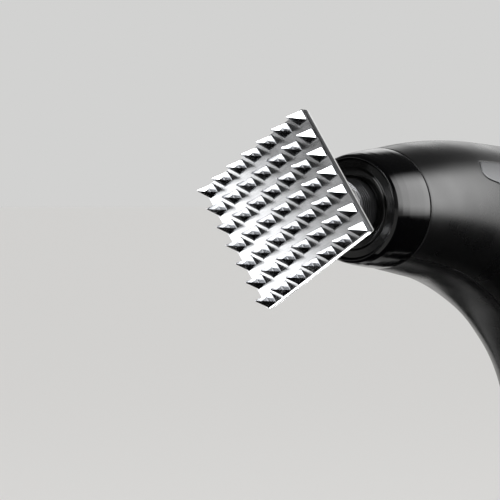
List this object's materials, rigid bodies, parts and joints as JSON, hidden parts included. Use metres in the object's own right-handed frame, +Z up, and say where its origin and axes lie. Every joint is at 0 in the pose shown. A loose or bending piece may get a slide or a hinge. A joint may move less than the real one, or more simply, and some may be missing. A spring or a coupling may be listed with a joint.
{
  "type": "electric meat tenderizer",
  "caption": "Cordless hand-held meat tenderizer: a pistol-shaped housing with a crank-driven plunger that beats a square plate of steel pyramid teeth.",
  "frame": {"origin": "centre of the flat foot under the grip", "axes": "+Z up from the foot; the drive axis runs along X with the teeth at -X; +Y is the flank with the casing screws"},
  "size_m": [0.243, 0.0728, 0.1994],
  "materials": {
    "polished_steel": "polished stainless steel",
    "black_anodised": "black anodised",
    "satin_shell": "fine satin moulding",
    "gloss_shell": "high gloss moulding",
    "soft_rubber": "matte silicone",
    "felt": "pressed felt",
    "silver_trim": "satin silver",
    "steel": "bright zinc",
    "cast_alloy": "die cast",
    "bronze": "sintered bronze",
    "copper_winding": "enamelled copper",
    "nickel": "nickel strip",
    "cell_sleeve": "shrink sleeve",
    "board_green": "solder mask",
    "light_guide": "clear light guide"
  },
  "bodies": {
    "housing": {"left_casing": "satin_shell", "right_casing": "satin_shell", "nose_collar": "gloss_shell", "front_ring": "soft_rubber", "wiper_seal": "felt", "grip_pad": "soft_rubber", "left_strip": "silver_trim", "right_strip": "silver_trim", "bottom_cap": "satin_shell", "foot_pad": "soft_rubber", "casing_screws": "steel", "drive_frame": "cast_alloy", "flange_screws": "steel", "guide_sleeve": "bronze", "tail_sleeve": "bronze", "motor_can": "steel", "motor_bell": "cast_alloy", "motor_screws": "steel", "motor_bearings": "steel", "stator": "copper_winding", "battery_cells": "cell_sleeve", "battery_holder": "satin_shell", "cell_straps": "nickel", "control_panel": "gloss_shell", "speed_lights": "light_guide", "tact_switches": "gloss_shell", "circuit_board": "board_green", "port_bezel": "gloss_shell", "charge_socket": "steel"},
    "crank": {"rotor": "steel", "motor_shaft": "steel", "crank_disc": "cast_alloy", "crank_pin": "steel"},
    "roller": {"roller": "steel"},
    "plunger": {"yoke": "steel", "plunger_rod": "steel", "socket_collar": "black_anodised"},
    "snap_ring": {"shank_ring": "soft_rubber"},
    "head": {"tooth_plate": "polished_steel", "head_stem": "polished_steel"},
    "power": {"power_button": "soft_rubber"},
    "speed": {"speed_button": "silver_trim"},
    "cover": {"port_cover": "soft_rubber"}
  },
  "joints": [
    {"name": "crank_turn", "type": "hinge", "parent": "housing", "child": "crank", "pos_m": [-0.07675, 0, 0.163], "axis": [0, 0, 1], "range_deg": [-90, 90]},
    {"name": "roller_spin", "type": "hinge", "parent": "crank", "child": "roller", "pos_m": [-0.07675, 0.003, 0.163], "axis": [0, 0, 1], "continuous": true},
    {"name": "plunger_slide", "type": "slide", "parent": "housing", "child": "plunger", "axis": [-1, 0, 0], "range_m": [-0.0034, 0.0034]},
    {"name": "head_pull", "type": "slide", "parent": "plunger", "child": "snap_ring", "axis": [-1, 0, 0], "range_m": [0, 0.03]},
    {"name": "head_turn", "type": "hinge", "parent": "snap_ring", "child": "head", "pos_m": [-0.16875, 0, 0.163], "axis": [1, 0, 0], "continuous": true},
    {"name": "power_press", "type": "slide", "parent": "housing", "child": "power", "axis": [-0.788, 0, -0.6157], "range_m": [0, 0.0006], "stiffness_N_per_m": 600, "springref_m": -0.0004},
    {"name": "speed_press", "type": "slide", "parent": "housing", "child": "speed", "axis": [-0.788, 0, -0.6157], "range_m": [0, 0.0006], "stiffness_N_per_m": 600, "springref_m": -0.0004},
    {"name": "cover_hinge", "type": "hinge", "parent": "housing", "child": "cover", "pos_m": [0.02065, 0, 0.0264], "axis": [0, -1, 0], "range_deg": [0, 90]}
  ],
  "couplings": [
    {"joint": "crank_turn", "follows": "plunger_slide", "rad_per_m": 459.77}
  ]
}
